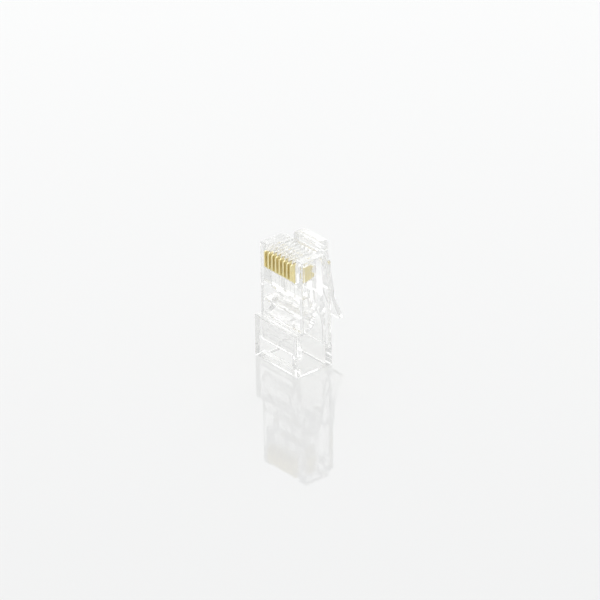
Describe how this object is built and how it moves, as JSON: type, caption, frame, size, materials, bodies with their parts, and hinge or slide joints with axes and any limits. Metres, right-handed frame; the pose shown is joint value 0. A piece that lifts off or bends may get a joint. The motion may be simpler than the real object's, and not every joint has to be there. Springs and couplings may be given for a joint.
{
  "type": "rj45 modular plug",
  "caption": "Clear modular plug for twisted pair cable, with gold blades in a comb at its nose, strain-relief bars and a sprung latch lever.",
  "frame": {"origin": "centre of the cable mouth, in the plane of the cable end", "axes": "+Z along the plug towards its nose, +Y towards the latch, X across the contacts"},
  "size_m": [0.0116, 0.0139, 0.0231],
  "materials": {
    "clear_polycarbonate": "gloss",
    "gold_plate": "polished"
  },
  "bodies": {
    "plug": {"housing": "clear_polycarbonate", "contact_1": "gold_plate", "contact_2": "gold_plate", "contact_3": "gold_plate", "contact_4": "gold_plate", "contact_5": "gold_plate", "contact_6": "gold_plate", "contact_7": "gold_plate", "contact_8": "gold_plate"},
    "latch": {"latch_lever": "clear_polycarbonate"}
  },
  "joints": [
    {"name": "latch_flex", "type": "hinge", "parent": "plug", "child": "latch", "pos_m": [0, 0.00513, 0.02075], "axis": [-1, 0, 0], "range_deg": [0, 17], "stiffness_Nm_per_rad": 0.1}
  ]
}
